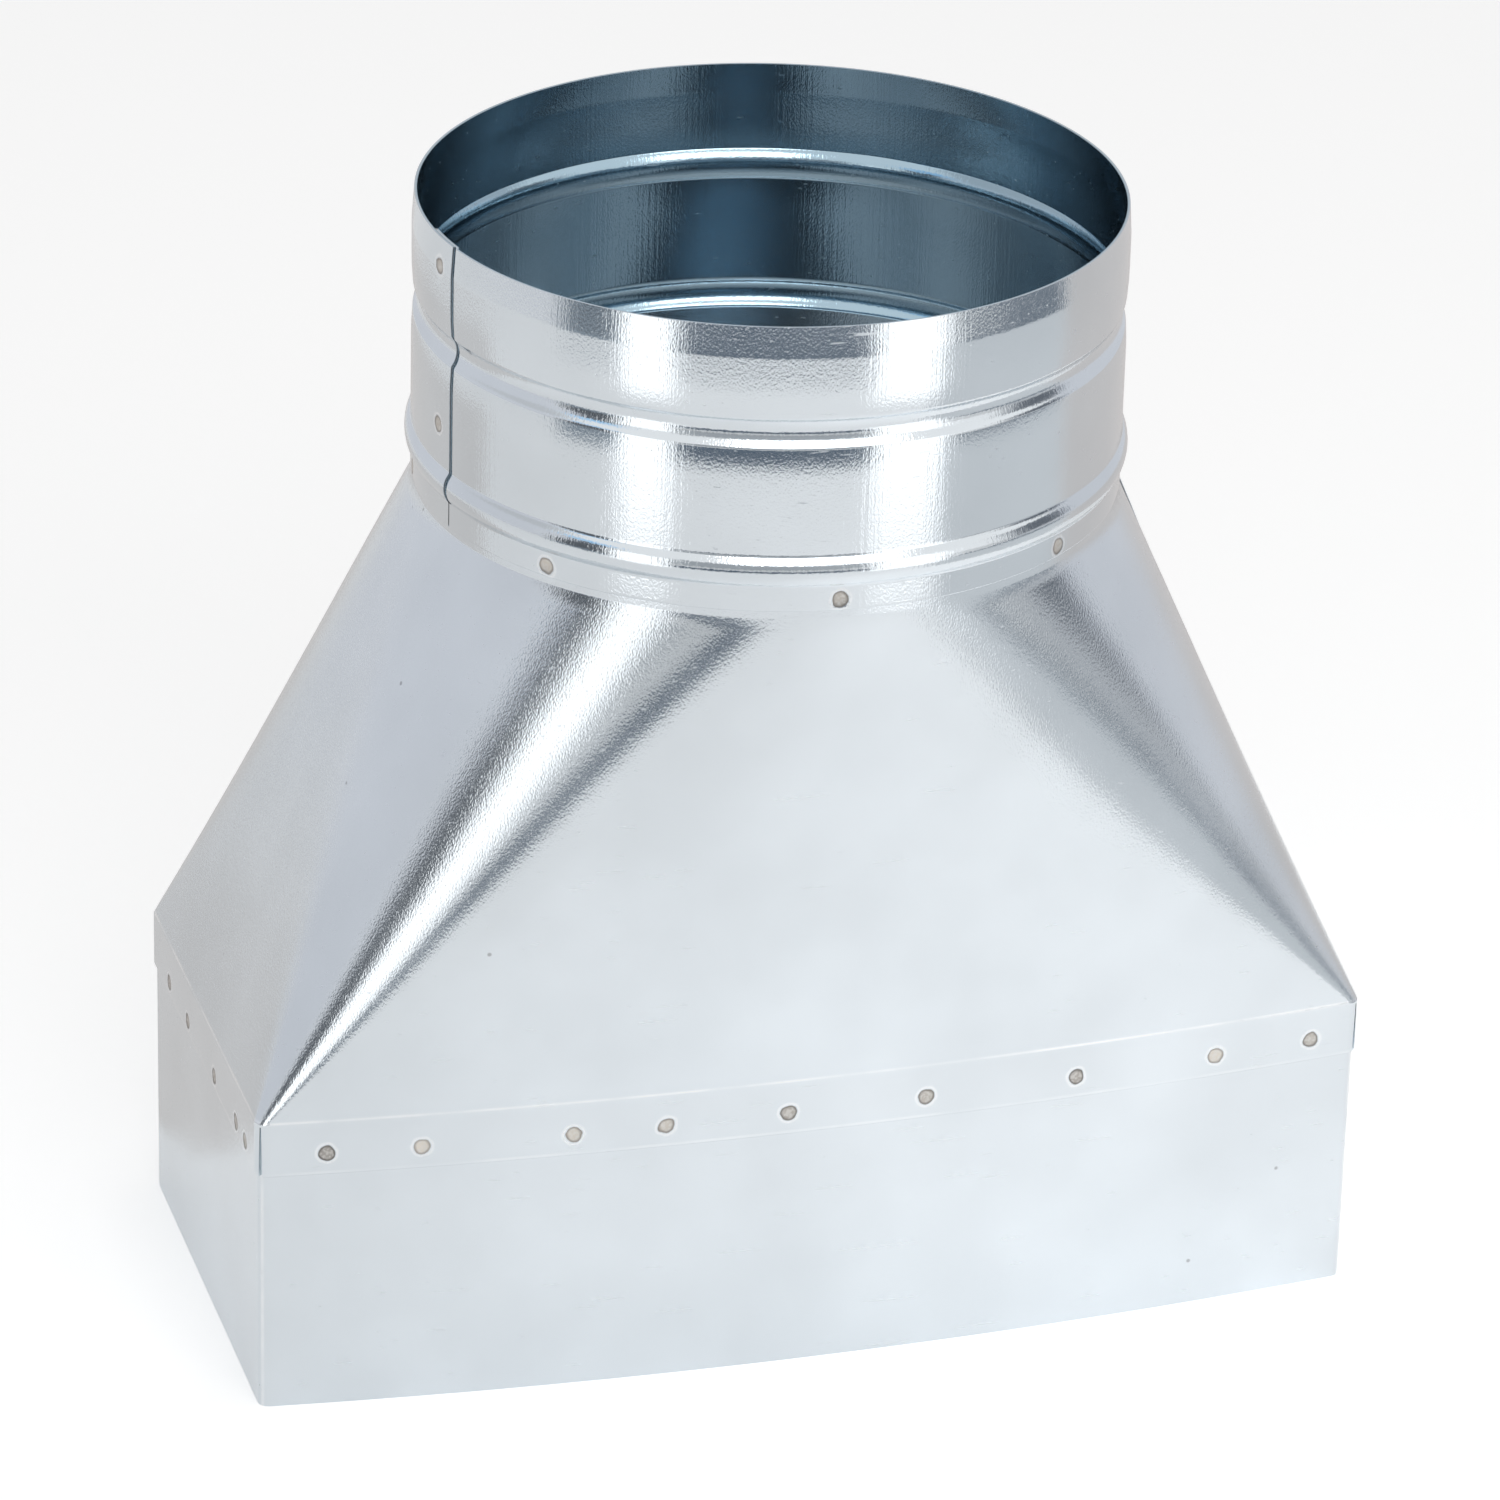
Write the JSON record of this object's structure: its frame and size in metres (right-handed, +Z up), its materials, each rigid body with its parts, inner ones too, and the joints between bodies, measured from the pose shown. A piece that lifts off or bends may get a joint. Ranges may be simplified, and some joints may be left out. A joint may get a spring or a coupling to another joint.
{
  "type": "flat duct adapter",
  "caption": "Sheet-steel duct adapter: a round spigot on a tapered hood that widens into a flat rectangular collar with bowed long sides.",
  "frame": {"origin": "on the floor, in the middle of the flat collar's open bottom edge, under the round collar's axis", "axes": "+Z up along the round collar's axis, out of its mouth; X along the flat collar's long sides; -Y is the front long side"},
  "size_m": [0.2434, 0.1518, 0.2455],
  "materials": {
    "flat_collar_sheet": "bright galvanised",
    "hood_sheet": "bright galvanised",
    "round_collar_sheet": "bright galvanised, lightly brushed"
  },
  "bodies": {
    "root": {"flat_collar": "flat_collar_sheet", "transition_hood": "hood_sheet", "round_collar": "round_collar_sheet"}
  },
  "joints": []
}
